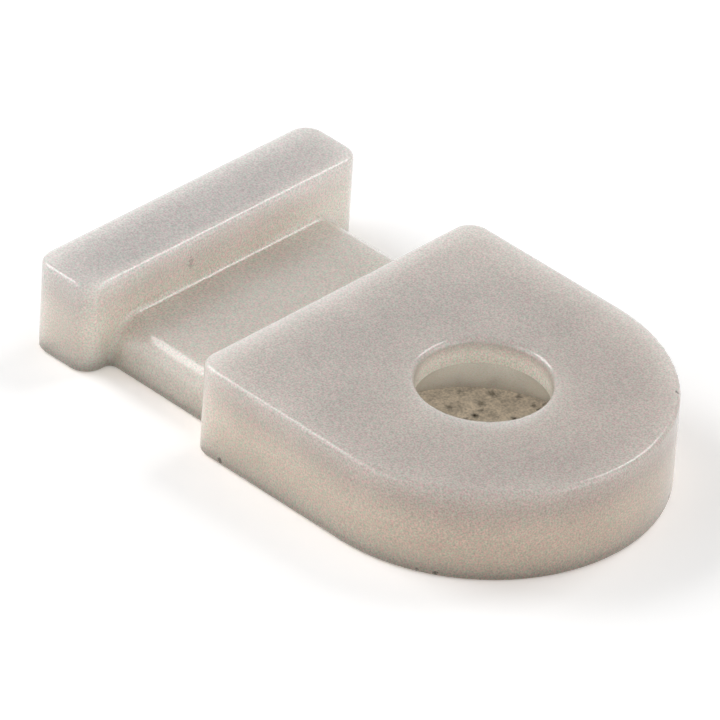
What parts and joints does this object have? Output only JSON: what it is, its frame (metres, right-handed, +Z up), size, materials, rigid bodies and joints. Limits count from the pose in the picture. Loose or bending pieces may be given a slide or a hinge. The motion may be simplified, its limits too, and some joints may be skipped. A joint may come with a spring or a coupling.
{
  "type": "cable tie mount",
  "caption": "Small moulded nylon cable tie mount: a D-shaped pad with a countersunk screw hole, a narrower neck for the tie, and a cross bar that keeps the tie in place.",
  "frame": {"origin": "middle of the overall length and width, on the flat outer face that the mount lies on", "axes": "+X from the cross bar to the round end, +Y across the mount, +Z up, out of the seating face"},
  "size_m": [0.0208, 0.0126, 0.0034],
  "materials": {
    "natural_nylon": "satin, milky and slightly translucent, as moulded"
  },
  "bodies": {
    "root": {"mount_body": "natural_nylon"}
  },
  "joints": []
}
